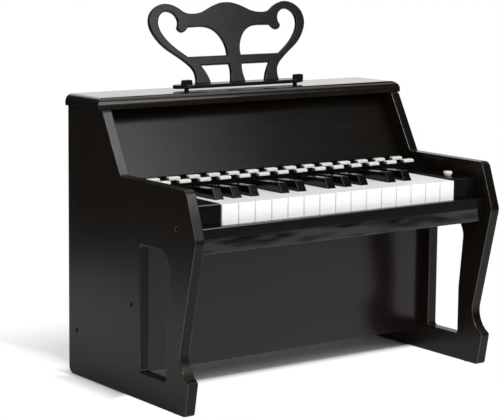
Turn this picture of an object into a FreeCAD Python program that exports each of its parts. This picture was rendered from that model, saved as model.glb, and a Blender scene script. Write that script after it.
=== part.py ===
"""Toy upright piano: painted cabinet, sprung keyboard, note lights and a lift-off music stand.

Millimetres. X runs along the keyboard, Y to the back and Z up. The origin is on the floor, under the middle
of the cabinet's width, on the line that halves the depth of the side panels.
"""
import FreeCAD, Part
import math
import os
import Sketcher

Vector = FreeCAD.Vector

# Driving dimensions: name, value, meaning
DIMENSIONS = [
    ("cabinet_width", 450.0, "outside of one side panel to outside of the other"),
    ("cabinet_depth", 266.4, "foremost point of a side panel to its back edge"),
    ("arm_height", 253.0, "top of the arm above the floor"),
    ("upper_height", 71.5, "top of the side panels above the arm"),
    ("side_board", 13.6, "thickness of a side panel"),
    ("slope_inset", 75.8, "back edge to where the sloped edge meets the top"),
    ("notch_depth", 18.0, "Y where the sloped edge meets the arm"),
    ("arm_setback", 19.6, "arm's upper front corner behind the foremost point"),
    ("nose_drop", 56.0, "foremost point of the leg below the top of the arm"),
    ("ankle_setback", 33.6, "ankle's inner corner behind the foremost point, before rounding"),
    ("ankle_height", 52.5, "height of the ankle's inner corner"),
    ("toe_setback", 11.4, "foot's upper front corner behind the foremost point"),
    ("toe_height", 40.0, "height of the foot's upper front corner"),
    ("foot_setback", 18.4, "foot's lower front corner behind the foremost point"),
    ("heel_radius", 9.0, "rounding of the lower back corner"),
    ("foot_radius", 4.0, "rounding of the foot's front corners"),
    ("slope_radius", 5.0, "rounding at the top of the sloped edge"),
    ("notch_radius", 3.0, "rounding in the notch"),
    ("arm_radius", 9.0, "rounding of the arm's front corner"),
    ("nose_radius", 14.0, "rounding of the leg's foremost point"),
    ("ankle_radius", 30.0, "rounding of the ankle"),
    ("edge_radius", 1.2, "easing of the boards' outer edges"),
    ("window_back", -23.5, "Y of the window's back edge"),
    ("window_bottom", 33.5, "height of the window's lower edge"),
    ("window_head", 1.0, "window's upper edge below the key bed"),
    ("window_setback", 55.7, "window's front edge behind the foremost point, at the bottom"),
    ("window_bend_height", 92.0, "height where the window's front edge bends"),
    ("window_top_setback", 47.2, "window's front edge behind the foremost point, at the top"),
    ("window_radius", 4.0, "rounding of the window's small corners"),
    ("window_top_radius", 23.0, "rounding of the window's upper front corner"),
    ("pad_height", 0.8, "thickness of the foot pads"),
    ("pad_radius", 5.0, "radius of the foot pads"),
    ("front_pad_inset", 41.2, "front foot pads behind the foremost point"),
    ("rear_pad_inset", 21.2, "rear foot pads ahead of the back edge"),
    ("screw_radius", 1.75, "radius of a screw's shank"),
    ("screw_head_radius", 3.5, "radius of a screw's head"),
    ("screw_length", 30.0, "length of a side screw"),
    ("screw_gap", 0.2, "room round a screw in the panel it passes through"),
    ("knee_front", -10.0, "Y of the lower front panel's face"),
    ("knee_board", 9.0, "thickness of the lower front panel"),
    ("knee_bottom", 28.0, "height of the lower front panel's lower edge"),
    ("knee_screw_share", 0.5284, "screw's height on the lower front panel, as a share of the panel"),
    ("bed_drop", 71.7, "underside of the key bed below the top of the arm"),
    ("bed_board", 16.0, "thickness of the key bed"),
    ("bed_setback", 13.2, "key bed's front edge behind the foremost point"),
    ("bed_back", 60.0, "Y of the key bed's back edge"),
    ("music_face", 42.856, "Y of the music panel's face at the height of the arm"),
    ("music_top_inset", 48.73, "top of the music panel's face ahead of the back edge"),
    ("music_board", 9.0, "thickness of the music panel"),
    ("lid_board", 13.6, "thickness of the lid"),
    ("lid_overhang", 3.2, "lid beyond the outside of each side panel"),
    ("lid_inset", 74.2, "lid's front edge ahead of the side panels' back edge"),
    ("lid_rear_overhang", 0.4, "lid beyond the side panels' back edge"),
    ("lid_radius", 9.5, "rounding of the lid's upper edges"),
    ("top_rail_height", 23.0, "height of the batten under the lid"),
    ("top_rail_inset", 27.2, "back of the batten under the lid ahead of the back edge"),
    ("top_rail_screw_inset", 11.2, "screw ahead of the back of the batten under the lid"),
    ("back_inset", 9.4, "inside of the back panel ahead of the back edge"),
    ("back_rail_depth", 18.0, "depth of the lower back batten"),
    ("back_rail_bottom", 40.0, "underside of the lower back batten"),
    ("back_rail_height", 32.0, "height of the lower back batten"),
    ("back_board", 3.0, "thickness of the back panel"),
    ("slip_depth", 9.0, "depth of the strip in front of the keys"),
    ("slip_height", 12.7, "strip in front of the keys above the key bed"),
    ("slip_radius", 1.6, "rounding of the strip's upper edges"),
    ("cheek_setback", 3.0, "end blocks' front face behind the strip"),
    ("cheek_rise", 1.5, "end blocks above the white keys"),
    ("cheek_width", 37.9, "width of an end block"),
    ("cheek_wall", 3.0, "wall of the hollow end blocks"),
    ("cheek_front_block", 18.0, "solid front of an end block, which takes a screw"),
    ("cheek_screw_setback", 10.5, "screw behind an end block's front face"),
    ("cheek_screw_rise", 11.3, "screw into an end block above the key bed"),
    ("cheek_radius", 1.6, "rounding of the end blocks' upper edges"),
    ("cheek_gap", 1.0, "room between the end keys and the end blocks"),
    ("white_count", 15.0, "number of white keys"),
    ("key_gap", 0.8, "slit between two white keys"),
    ("key_front_gap", 2.6, "room between the white keys and the strip in front"),
    ("key_lift", 8.7, "underside of the keys above the key bed"),
    ("key_height", 26.5, "height of a white key"),
    ("key_wall", 2.2, "wall of a hollow key"),
    ("key_radius", 1.3, "rounding of the white keys' edges"),
    ("black_share", 0.52174, "width of a black key as a share of a white key's pitch"),
    ("black_setback", 32.9, "black key's front foot behind the white keys' front"),
    ("black_rise", 11.0, "front of a black key's top above the white keys"),
    ("black_fall", 2.3, "fall of a black key's top from its front to the light rail"),
    ("black_slope", 7.0, "set-back of a black key's front from foot to top"),
    ("black_radius", 0.9, "rounding of the black keys' edges"),
    ("black_side_gap", 1.0, "room beside a black key"),
    ("black_front_gap", 1.5, "room in front of a black key"),
    ("group_of_three_shift", 1.9, "outer black keys of three, away from the slit"),
    ("group_of_two_shift", 0.9, "black keys of two, away from the slit"),
    ("black_row_shift", -0.6, "all black keys, sideways from the slits"),
    ("pivot_back", 22.0, "Y of the keys' pivot"),
    ("pivot_rise", 10.0, "pivot above the underside of the keys"),
    ("pivot_radius", 2.5, "radius of the pivot rod"),
    ("pivot_gap", 0.05, "running gap round the pivot rod"),
    ("key_tail", 12.0, "key behind its pivot"),
    ("key_dip_angle", 2.7, "turn of a pressed key, degrees"),
    ("key_web", 16.0, "solid web of a key over its contact"),
    ("contact_ahead", 26.0, "middle of the contacts ahead of the pivot"),
    ("contact_radius", 4.0, "radius of a rubber contact"),
    ("contact_base", 1.5, "thickness of the rubber strip"),
    ("stop_gap", 0.3, "room under a pressed key"),
    ("rest_gap", 0.2, "room under a key's tail at rest"),
    ("felt_width", 12.0, "width of the felt strips"),
    ("felt_setback", 4.4, "front felt behind the white keys' front"),
    ("circuit_board_thick", 1.6, "thickness of the circuit boards"),
    ("circuit_board_ahead", 42.0, "main circuit board's front edge ahead of the contacts"),
    ("circuit_board_behind", 18.0, "main circuit board's back edge behind the contacts"),
    ("rail_front", -17.5, "Y of the light rail's front face"),
    ("rail_rise", 9.7, "front of the light rail's top above the end blocks"),
    ("rail_slope", 1.5, "rise of the light rail's top from its front to the music panel"),
    ("rail_wall", 2.2, "wall of the light rail"),
    ("rail_radius", 1.0, "rounding of the light rail's front edge"),
    ("black_rear_gap", 1.5, "room between the black keys and the light rail"),
    ("light_columns", 14.0, "note lights in a row"),
    ("light_end", 27.85, "inside of a side panel to the middle of the end note light"),
    ("light_width", 17.2, "width of a note light"),
    ("light_depth", 8.2, "depth of a note light"),
    ("light_height", 3.3, "height of a note light above the rail"),
    ("light_radius", 1.5, "rounding of a note light's upper edges"),
    ("light_corner_radius", 2.6, "rounding of a note light's corners"),
    ("light_front_row", 4.5, "front row of lights behind the rail's front edge"),
    ("light_row_gap", 13.8, "room between the two rows of lights"),
    ("light_stem_width", 8.0, "width of a note light's stem"),
    ("light_stem_depth", 3.0, "depth of a note light's stem"),
    ("light_stem_gap", 0.2, "room round a note light's stem"),
    ("light_board_drop", 1.2, "light board below the underside of the rail's top"),
    ("knob_radius", 5.3, "radius of the volume knob's rim"),
    ("knob_waist", 3.8, "radius of the volume knob's foot"),
    ("knob_height", 5.4, "height of the volume knob"),
    ("knob_lift", 0.4, "volume knob above the end block"),
    ("shaft_radius", 2.5, "radius of the volume knob's shaft"),
    ("shaft_reach", 3.0, "shaft inside the knob"),
    ("control_radius", 8.0, "radius of the volume control"),
    ("control_depth", 9.0, "depth of the volume control"),
    ("control_bush", 1.0, "wall of the volume control's bush"),
    ("control_side_gap", 2.5, "room between the volume control and the end block's wall"),
    ("control_front_gap", 1.5, "room between the volume control and the end block's solid front"),
    ("running_gap", 0.05, "gap round a turning shaft"),
    ("speaker_radius", 29.0, "radius of the speaker's flange"),
    ("speaker_flange", 2.5, "thickness of the speaker's flange"),
    ("speaker_depth", 22.0, "depth of the speaker"),
    ("speaker_magnet", 15.0, "radius of the speaker's magnet"),
    ("speaker_x", 110.0, "X of the speaker"),
    ("speaker_height", 200.0, "height of the speaker's axis"),
    ("slot_length", 40.0, "length of a sound slot"),
    ("slot_width", 3.0, "width of a sound slot"),
    ("slot_pitch", 7.0, "one sound slot to the next"),
    ("slot_count", 6.0, "number of sound slots"),
    ("cell_radius", 7.1, "radius of a battery"),
    ("cell_length", 50.0, "length of a battery"),
    ("cell_gap", 0.6, "room round a battery"),
    ("cell_count", 3.0, "number of batteries"),
    ("battery_wall", 2.0, "wall of the battery box"),
    ("battery_x", -110.0, "X of the battery box"),
    ("battery_bottom", 120.0, "underside of the battery box"),
    ("cover_gap", 0.4, "room round the battery cover"),
    ("cover_screw_margin", 5.0, "cover screw below the cover's upper edge"),
    ("stand_tilt", 16.2, "lean of the music stand from upright, degrees"),
    ("stand_half_width", 118.2, "half the width of the music stand's scrolls"),
    ("stand_height", 100.0, "height of the music stand along its lean"),
    ("stand_plate", 5.0, "thickness of the music stand's plate"),
    ("stand_chamfer", 1.0, "easing of the music stand's edges"),
    ("stand_foot_share", 0.674, "music stand's foot behind the shelf's front, as a share of the shelf"),
    ("shelf_half_straight", 84.6, "middle of the shelf to the end of its straight edge"),
    ("shelf_tip", 17.0, "shelf beyond its straight edge"),
    ("shelf_inset", 46.7, "shelf's front edge ahead of the side panels' back edge"),
    ("shelf_depth", 23.0, "depth of the shelf"),
    ("shelf_thick", 4.5, "thickness of the shelf"),
    ("shelf_tip_radius", 4.0, "rounding of the shelf's tips"),
    ("shelf_shoulder_radius", 28.0, "rounding where the shelf narrows"),
    ("shelf_radius", 1.2, "rounding of the shelf's edges"),
    ("collar_height", 2.1, "shelf above the lid"),
    ("collar_radius", 2.8, "radius of the collars under the shelf"),
    ("peg_radius", 1.8, "radius of the pegs in the lid"),
    ("peg_length", 8.0, "peg inside the lid"),
    ("peg_gap", 0.3, "room round and under a peg"),
    ("peg_inset", 2.0, "pegs inside the end of the shelf's straight edge"),
    ("peg_front_gap", 3.7, "collars behind the shelf's front edge"),
    ("stop_width", 14.1, "width of a page stop"),
    ("stop_thick", 4.0, "thickness of a page stop"),
    ("stop_height", 6.5, "height of a page stop above the shelf"),
    ("stop_radius", 2.5, "rounding of a page stop"),
]

# Places worked out from the driving dimensions: name, formula, meaning
PLACES = [
    ("back_edge", "cabinet_depth / 2", "Y of the side panels' back edge"),
    ("nose_front", "-cabinet_depth / 2", "Y of the foremost point of the leg"),
    ("side_height", "arm_height + upper_height", "top of the side panels above the floor"),
    ("nose_height", "arm_height - nose_drop", "height of the foremost point of the leg"),
    ("slope_top", "back_edge - slope_inset", "Y where the sloped front edge meets the top"),
    ("arm_front", "nose_front + arm_setback", "Y of the arm's upper front corner"),
    ("ankle_back", "nose_front + ankle_setback", "Y of the ankle's inner corner"),
    ("toe_front", "nose_front + toe_setback", "Y of the foot's upper front corner"),
    ("foot_front", "nose_front + foot_setback", "Y of the foot's lower front corner"),
    ("front_pad_back", "nose_front + front_pad_inset", "Y of the front foot pads"),
    ("rear_pad_front", "back_edge - rear_pad_inset", "Y of the rear foot pads"),
    ("bed_bottom", "arm_height - bed_drop", "underside of the key bed"),
    ("bed_top", "bed_bottom + bed_board", "top of the key bed"),
    ("bed_front", "nose_front + bed_setback", "Y of the key bed's front edge"),
    ("window_top", "bed_bottom - window_head", "height of the window's upper edge"),
    ("window_front", "nose_front + window_setback", "Y of the window's front edge at the bottom"),
    ("window_front_top", "nose_front + window_top_setback", "Y of the window's front edge at the top"),
    ("knee_screw_height", "knee_bottom + (bed_bottom - knee_bottom) * knee_screw_share",
     "height of the screw into the lower front panel"),
    ("music_top_face", "back_edge - music_top_inset", "Y of the top of the music panel's face"),
    ("music_tilt", "atan((music_top_face - music_face) / upper_height)", "lean of the music panel"),
    ("lid_front", "back_edge - lid_inset", "Y of the lid's front edge"),
    ("lid_back", "back_edge + lid_rear_overhang", "Y of the lid's back edge"),
    ("top_rail_back", "back_edge - top_rail_inset", "Y of the back of the batten under the lid"),
    ("top_rail_screw", "top_rail_back - top_rail_screw_inset", "Y of the screw into that batten"),
    ("back_rail_back", "back_edge - back_inset", "Y of the inside of the back panel"),
    ("back_rail_center", "back_rail_back - back_rail_depth / 2", "Y of the middle of the lower back batten"),
    ("slip_back", "bed_front + slip_depth", "Y of the back of the strip in front of the keys"),
    ("slip_top", "bed_top + slip_height", "top of the strip in front of the keys"),
    ("key_pitch", "(cabinet_width - (side_board + cheek_width + cheek_gap) * 2) / white_count",
     "one white key to the next"),
    ("key_front", "slip_back + key_front_gap", "Y of the white keys' front face"),
    ("key_bottom", "bed_top + key_lift", "underside of the keys"),
    ("key_top", "key_bottom + key_height", "top of the white keys"),
    ("black_width", "key_pitch * black_share", "width of a black key"),
    ("black_front", "key_front + black_setback", "Y of a black key's front foot"),
    ("black_top", "key_top + black_rise", "top of the black keys at their front"),
    ("black_rear_top", "black_top - black_fall", "top of the black keys at the light rail"),
    ("pivot_height", "key_bottom + pivot_rise", "height of the keys' pivot"),
    ("contact_back", "pivot_back - contact_ahead", "Y of the middle of the contacts"),
    ("felt_front", "key_front + felt_setback", "Y of the front felt's front edge"),
    ("circuit_board_front", "contact_back - circuit_board_ahead", "Y of the circuit board's front edge"),
    ("circuit_board_back", "contact_back + circuit_board_behind", "Y of the circuit board's back edge"),
    ("cheek_front", "slip_back + cheek_setback", "Y of the end blocks' front face"),
    ("cheek_top", "key_top + cheek_rise", "top of the end blocks"),
    ("cheek_screw_height", "bed_top + cheek_screw_rise", "height of the screw into an end block"),
    ("rail_front_top", "cheek_top + rail_rise", "top of the light rail at its front"),
    ("rail_rear_top", "rail_front_top + rail_slope", "top of the light rail at the music panel"),
    ("light_pitch", "(cabinet_width - (side_board + light_end) * 2) / (light_columns - 1)",
     "one note light to the next"),
    ("light_rear_row", "light_front_row + light_depth + light_row_gap",
     "rear row of lights behind the rail's front edge"),
    ("knob_back", "cheek_front + cheek_front_block + control_front_gap + control_radius",
     "Y of the volume knob's axis"),
    ("shelf_half_length", "shelf_half_straight + shelf_tip", "middle of the shelf to its tip"),
    ("shelf_front", "back_edge - shelf_inset", "Y of the shelf's front edge"),
    ("shelf_back", "shelf_front + shelf_depth", "Y of the shelf's back edge"),
    ("stand_foot", "shelf_front + shelf_depth * stand_foot_share", "Y of the music stand's foot"),
    ("peg_x", "shelf_half_straight - peg_inset", "X of the pegs"),
    ("peg_back", "shelf_front + peg_front_gap + collar_radius", "Y of the pegs"),
    ("stop_center_x", "shelf_half_straight", "X of a page stop's middle"),
]

# Black keys: the slit they stand over, counted from the left, and their group's shift
BLACK_KEYS = [
    (1, "group_of_three_shift", -1),
    (2, "group_of_three_shift", 0),
    (3, "group_of_three_shift", 1),
    (5, "group_of_two_shift", -1),
    (6, "group_of_two_shift", 1),
    (8, "group_of_three_shift", -1),
    (9, "group_of_three_shift", 0),
    (10, "group_of_three_shift", 1),
    (12, "group_of_two_shift", -1),
    (13, "group_of_two_shift", 1),
]


class Size:
    """A length, with the sheet formula that a feature is bound to."""

    def __init__(self, value, formula):
        self.value = value
        self.formula = formula

    def __add__(self, other):
        other = as_size(other)
        return Size(self.value + other.value, f"({self.formula} + {other.formula})")

    def __sub__(self, other):
        other = as_size(other)
        return Size(self.value - other.value, f"({self.formula} - {other.formula})")

    def __mul__(self, other):
        other = as_size(other)
        return Size(self.value * other.value, f"({self.formula} * {other.formula})")

    def __truediv__(self, other):
        other = as_size(other)
        return Size(self.value / other.value, f"({self.formula} / {other.formula})")

    def __neg__(self):
        return Size(-self.value, f"(0 - {self.formula})")


def as_size(item):
    return item if isinstance(item, Size) else Size(float(item), f"({float(item)})")


def sine(angle):
    return Size(math.sin(math.radians(angle.value)), f"sin({angle.formula})")


def cosine(angle):
    return Size(math.cos(math.radians(angle.value)), f"cos({angle.formula})")


def tangent(angle):
    return Size(math.tan(math.radians(angle.value)), f"tan({angle.formula})")


doc = FreeCAD.newDocument("toy_piano")
sheet = doc.addObject("Spreadsheet::Sheet", "sizes")
for row, (alias, content, meaning) in enumerate(DIMENSIONS + PLACES, start=1):
    sheet.set(f"A{row}", alias)
    sheet.set(f"B{row}", f"={content}")
    sheet.set(f"C{row}", meaning)
    sheet.setAlias(f"B{row}", alias)
doc.recompute()


def cell(alias):
    return Size(float(sheet.get(alias)), f"sizes.{alias}")


def count(alias):
    return int(round(cell(alias).value))


# Binding, sketches and features

def bind(item, property_path, size):
    item.setExpression(property_path, as_size(size).formula)


def new_body(label):
    body = doc.addObject("PartDesign::Body", label)
    body.Label = label
    body.AllowCompound = True
    return body


def origin_feature(body, role):
    return next(feature for feature in body.Origin.OriginFeatures if feature.Role == role)


def new_sketch(body, name, plane, offset=0.0):
    """Empty sketch on one of the body's origin planes, moved along the plane's normal."""
    sketch = body.newObject("Sketcher::SketchObject", name)
    sketch.AttachmentSupport = [(origin_feature(body, plane), "")]
    sketch.MapMode = "FlatFace"
    height = as_size(offset)
    sketch.AttachmentOffset = FreeCAD.Placement(Vector(0, 0, height.value), FreeCAD.Rotation())
    bind(sketch, "AttachmentOffset.Base.z", height)
    return sketch


def pin(sketch, kind, geometry, point, size):
    number = sketch.addConstraint(Sketcher.Constraint(kind, -1, 1, geometry, point, size.value))
    name = f"{kind}_{geometry}"
    sketch.renameConstraint(number, name)
    bind(sketch, f"Constraints.{name}", size)


def add_polygon(sketch, corners):
    """Closed outline whose corners are bound to the sheet."""
    sizes = [(as_size(across), as_size(up)) for across, up in corners]
    points = [Vector(across.value, up.value, 0) for across, up in sizes]
    first = sketch.GeometryCount
    total = len(points)
    for index, start in enumerate(points):
        sketch.addGeometry(Part.LineSegment(start, points[(index + 1) % total]), False)
    for index in range(total):
        following = first + (index + 1) % total
        sketch.addConstraint(Sketcher.Constraint("Coincident", first + index, 2, following, 1))
    for index, (across, up) in enumerate(sizes):
        pin(sketch, "DistanceX", first + index, 1, across)
        pin(sketch, "DistanceY", first + index, 1, up)


def add_box(sketch, low, high):
    add_polygon(sketch, [low, (high[0], low[1]), high, (low[0], high[1])])


def add_circle(sketch, center, radius):
    across, up = as_size(center[0]), as_size(center[1])
    radius = as_size(radius)
    middle = Vector(across.value, up.value, 0)
    number = sketch.addGeometry(Part.Circle(middle, Vector(0, 0, 1), radius.value), False)
    pin(sketch, "DistanceX", number, 3, across)
    pin(sketch, "DistanceY", number, 3, up)
    constraint = sketch.addConstraint(Sketcher.Constraint("Radius", number, radius.value))
    sketch.renameConstraint(constraint, f"Radius_{number}")
    bind(sketch, f"Constraints.Radius_{number}", radius)


def pad(body, sketch, length, symmetric=False, reverse=False):
    feature = body.newObject("PartDesign::Pad", f"{sketch.Name}_pad")
    feature.Profile = sketch
    bind(feature, "Length", length)
    feature.SideType = "Symmetric" if symmetric else "One side"
    feature.Reversed = reverse
    return feature


def pocket(body, sketch, length, symmetric=False, reverse=False):
    """Cut that must take material away."""
    doc.recompute()
    before = body.Shape.Volume
    feature = body.newObject("PartDesign::Pocket", f"{sketch.Name}_cut")
    feature.Profile = sketch
    bind(feature, "Length", length)
    feature.SideType = "Symmetric" if symmetric else "One side"
    feature.Reversed = reverse
    doc.recompute()
    if feature.Shape.Volume >= before:
        raise RuntimeError(f"{body.Label}: {feature.Name} cuts nothing")
    return feature


def edge_names(shape, wanted):
    return [f"Edge{number}" for number, edge in enumerate(shape.Edges, start=1) if wanted(edge)]


def round_edges(body, name, radius, wanted, kind="Fillet"):
    """Fillet, or chamfer, on the edges that the test picks."""
    doc.recompute()
    base = body.Tip
    names = edge_names(base.Shape, wanted)
    if not names:
        raise RuntimeError(f"{body.Label}: no edge for {name}")
    feature = body.newObject(f"PartDesign::{kind}", f"{body.Name}_{name}")
    feature.Base = (base, names)
    bind(feature, "Radius" if kind == "Fillet" else "Size", radius)
    return feature


def near(one, other):
    return abs(one - other) < 0.01


def along_x_at(*places):
    """Edges along X through any of the given Y, Z places."""
    targets = [(as_size(y).value, as_size(z).value) for y, z in places]

    def wanted(edge):
        ends = [vertex.Point for vertex in edge.Vertexes]
        return any(all(near(p.y, y) and near(p.z, z) for p in ends) for y, z in targets)
    return wanted


def upright_at(*places):
    """Edges along Z through any of the given X, Y places."""
    targets = [(as_size(x).value, as_size(y).value) for x, y in places]

    def wanted(edge):
        ends = [vertex.Point for vertex in edge.Vertexes]
        return any(all(near(p.x, x) and near(p.y, y) for p in ends) for x, y in targets)
    return wanted


def in_plane(axis, size):
    """Edges that lie in one plane across the given axis."""
    level = as_size(size).value

    def wanted(edge):
        box = edge.BoundBox
        low, high = getattr(box, axis + "Min"), getattr(box, axis + "Max")
        return near(low, level) and near(high, level)
    return wanted


def place(item, x=None, y=None, z=None):
    for axis, size in (("x", x), ("y", y), ("z", z)):
        if size is not None:
            bind(item, f"Placement.Base.{axis}", size)


def board_between_sides(label, corners):
    """Board that fills the width between the side panels, from its profile in Y and Z."""
    body = new_body(label)
    sketch = new_sketch(body, f"{label}_profile", "YZ_Plane")
    add_polygon(sketch, corners)
    pad(body, sketch, INNER_WIDTH, symmetric=True)
    return body


def drill_along_x(body, name, y, z, radius, depth):
    """Blind holes at both ends of a board between the sides."""
    for side, reverse in (("left", True), ("right", False)):
        offset = -INNER_WIDTH / 2 if side == "left" else INNER_WIDTH / 2
        sketch = new_sketch(body, f"{body.Name}_{name}_{side}", "YZ_Plane", offset)
        add_circle(sketch, (y, z), radius)
        pocket(body, sketch, depth, reverse=reverse)


# Shared places, all from the sheet
HALF_WIDTH = cell("cabinet_width") / 2
INNER_WIDTH = cell("cabinet_width") - cell("side_board") * 2
INNER_HALF = INNER_WIDTH / 2
BED_TOP = cell("bed_top")
SLIP_BACK = cell("slip_back")
KEY_SPAN = cell("key_pitch") * cell("white_count")
CHEEK_INNER = KEY_SPAN / 2 + cell("cheek_gap")
LID_TOP = cell("side_height") + cell("lid_board")
BACK_RAIL_BACK = cell("back_rail_back")
BACK_RAIL_SCREW = cell("back_rail_bottom") + cell("back_rail_height") / 2
BACK_PANEL_BACK = BACK_RAIL_BACK + cell("back_board")
KNEE_MIDDLE = cell("knee_front") + cell("knee_board") / 2
CHEEK_SCREW = cell("cheek_front") + cell("cheek_screw_setback")
TOP_RAIL_SCREW_HEIGHT = cell("side_height") - cell("top_rail_height") / 2
MUSIC_DEPTH = cell("music_board") / cosine(cell("music_tilt"))
KEY_REAR = cell("pivot_back") + cell("key_tail")
SCREW_DEPTH = cell("screw_length") - cell("side_board")
SIDE_SCREWS = [
    (CHEEK_SCREW, cell("cheek_screw_height")),
    (KNEE_MIDDLE, cell("knee_screw_height")),
    (cell("back_rail_center"), BACK_RAIL_SCREW),
    (cell("top_rail_screw"), TOP_RAIL_SCREW_HEIGHT),
]


def music_face_at(height):
    """Y of the music panel's sloped face at a height."""
    return cell("music_face") + (as_size(height) - cell("arm_height")) * tangent(cell("music_tilt"))


def key_drop_at(y):
    """How far a fully pressed key's underside drops at a place ahead of the pivot."""
    dip = cell("key_dip_angle")
    below_pivot = cell("pivot_height") - cell("key_bottom")
    ahead = cell("pivot_back") - y
    return ahead * sine(dip) - below_pivot * (as_size(1.0) - cosine(dip))


# Cabinet

def side_panel(label, side):
    """Shaped side board; side is -1 on the left and 1 on the right."""
    body = new_body(label)
    bottom = cell("pad_height")
    outline = new_sketch(body, f"{label}_outline", "YZ_Plane")
    add_polygon(outline, [
        (cell("back_edge"), bottom),
        (cell("back_edge"), cell("side_height")),
        (cell("slope_top"), cell("side_height")),
        (cell("notch_depth"), cell("arm_height")),
        (cell("arm_front"), cell("arm_height")),
        (cell("nose_front"), cell("nose_height")),
        (cell("ankle_back"), cell("ankle_height")),
        (cell("toe_front"), cell("toe_height")),
        (cell("foot_front"), bottom),
    ])
    pad(body, outline, cell("side_board"))
    window = new_sketch(body, f"{label}_window", "YZ_Plane")
    add_polygon(window, [
        (cell("window_back"), cell("window_bottom")),
        (cell("window_back"), cell("window_top")),
        (cell("window_front_top"), cell("window_top")),
        (cell("window_front"), cell("window_bend_height")),
        (cell("window_front"), cell("window_bottom")),
    ])
    pocket(body, window, cell("side_board"), reverse=True)
    rounds = [
        ("heel", "heel_radius", [(cell("back_edge"), bottom)]),
        ("foot", "foot_radius", [(cell("toe_front"), cell("toe_height")), (cell("foot_front"), bottom)]),
        ("slope", "slope_radius", [(cell("slope_top"), cell("side_height"))]),
        ("notch", "notch_radius", [(cell("notch_depth"), cell("arm_height"))]),
        ("arm", "arm_radius", [(cell("arm_front"), cell("arm_height"))]),
        ("nose", "nose_radius", [(cell("nose_front"), cell("nose_height"))]),
        ("ankle", "ankle_radius", [(cell("ankle_back"), cell("ankle_height"))]),
        ("window_arch", "window_top_radius", [(cell("window_front_top"), cell("window_top"))]),
        ("window_corners", "window_radius", [
            (cell("window_back"), cell("window_bottom")),
            (cell("window_back"), cell("window_top")),
            (cell("window_front"), cell("window_bottom")),
        ]),
    ]
    for name, radius, places in rounds:
        round_edges(body, name, cell(radius), along_x_at(*places))
    for name, face in (("near_edge", 0.0), ("far_edge", cell("side_board"))):
        round_edges(body, name, cell("edge_radius"), in_plane("X", face))
    holes = new_sketch(body, f"{label}_holes", "YZ_Plane")
    for y, z in SIDE_SCREWS:
        add_circle(holes, (y, z), cell("screw_radius") + cell("screw_gap"))
    pocket(body, holes, cell("side_board"), reverse=True)
    outer_face = as_size(0.0) if side < 0 else cell("side_board")
    hole_radius = cell("screw_radius").value + cell("screw_gap").value

    def hole_mouth(edge):
        round_edge = isinstance(edge.Curve, Part.Circle) and near(edge.Curve.Radius, hole_radius)
        return round_edge and near(edge.Curve.Center.x, outer_face.value)
    head_cone = cell("screw_head_radius") - cell("screw_radius")
    round_edges(body, "countersink", head_cone, hole_mouth, kind="Chamfer")
    place(body, x=-HALF_WIDTH if side < 0 else INNER_HALF)
    return body


def top_lid():
    body = new_body("top_lid")
    half = HALF_WIDTH + cell("lid_overhang")
    plan = new_sketch(body, "lid_plan", "XY_Plane", cell("side_height"))
    add_box(plan, (-half, cell("lid_front")), (half, cell("lid_back")))
    pad(body, plan, cell("lid_board"))

    def upper_edge(edge):
        box = edge.BoundBox
        at_back = near(box.YMin, cell("lid_back").value)
        return near(box.ZMin, LID_TOP.value) and not at_back
    round_edges(body, "bullnose", cell("lid_radius"), upper_edge)
    sockets = new_sketch(body, "peg_sockets", "XY_Plane", LID_TOP)
    for x in (-cell("peg_x"), cell("peg_x")):
        add_circle(sockets, (x, cell("peg_back")), cell("peg_radius") + cell("peg_gap"))
    pocket(body, sockets, cell("peg_length") + cell("peg_gap"))
    return body


def music_panel():
    low = cell("cheek_top")
    high = cell("side_height")
    return board_between_sides("music_panel", [
        (music_face_at(low), low),
        (music_face_at(high), high),
        (music_face_at(high) + MUSIC_DEPTH, high),
        (music_face_at(low) + MUSIC_DEPTH, low),
    ])


def knee_panel():
    back = cell("knee_front") + cell("knee_board")
    body = board_between_sides("knee_panel", [
        (cell("knee_front"), cell("knee_bottom")),
        (back, cell("knee_bottom")),
        (back, cell("bed_bottom")),
        (cell("knee_front"), cell("bed_bottom")),
    ])
    drill_along_x(body, "pilot", KNEE_MIDDLE, cell("knee_screw_height"), cell("screw_radius"), SCREW_DEPTH)
    return body


def key_bed():
    body = board_between_sides("key_bed", [
        (cell("bed_front"), cell("bed_bottom")),
        (cell("bed_back"), cell("bed_bottom")),
        (cell("bed_back"), BED_TOP),
        (cell("bed_front"), BED_TOP),
    ])
    round_edges(body, "front_edge", cell("edge_radius"), along_x_at((cell("bed_front"), cell("bed_bottom"))))
    return body


def top_rail():
    """Batten under the lid, cut to the slope of the music panel."""
    low = cell("side_height") - cell("top_rail_height")
    body = board_between_sides("top_rail", [
        (music_face_at(low) + MUSIC_DEPTH, low),
        (cell("top_rail_back"), low),
        (cell("top_rail_back"), cell("side_height")),
        (music_face_at(cell("side_height")) + MUSIC_DEPTH, cell("side_height")),
    ])
    drill_along_x(body, "pilot", cell("top_rail_screw"), TOP_RAIL_SCREW_HEIGHT, cell("screw_radius"),
                  SCREW_DEPTH)
    return body


def back_rail():
    front = BACK_RAIL_BACK - cell("back_rail_depth")
    high = cell("back_rail_bottom") + cell("back_rail_height")
    body = board_between_sides("back_rail", [
        (front, cell("back_rail_bottom")),
        (BACK_RAIL_BACK, cell("back_rail_bottom")),
        (BACK_RAIL_BACK, high),
        (front, high),
    ])
    drill_along_x(body, "pilot", cell("back_rail_center"), BACK_RAIL_SCREW, cell("screw_radius"), SCREW_DEPTH)
    return body


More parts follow.
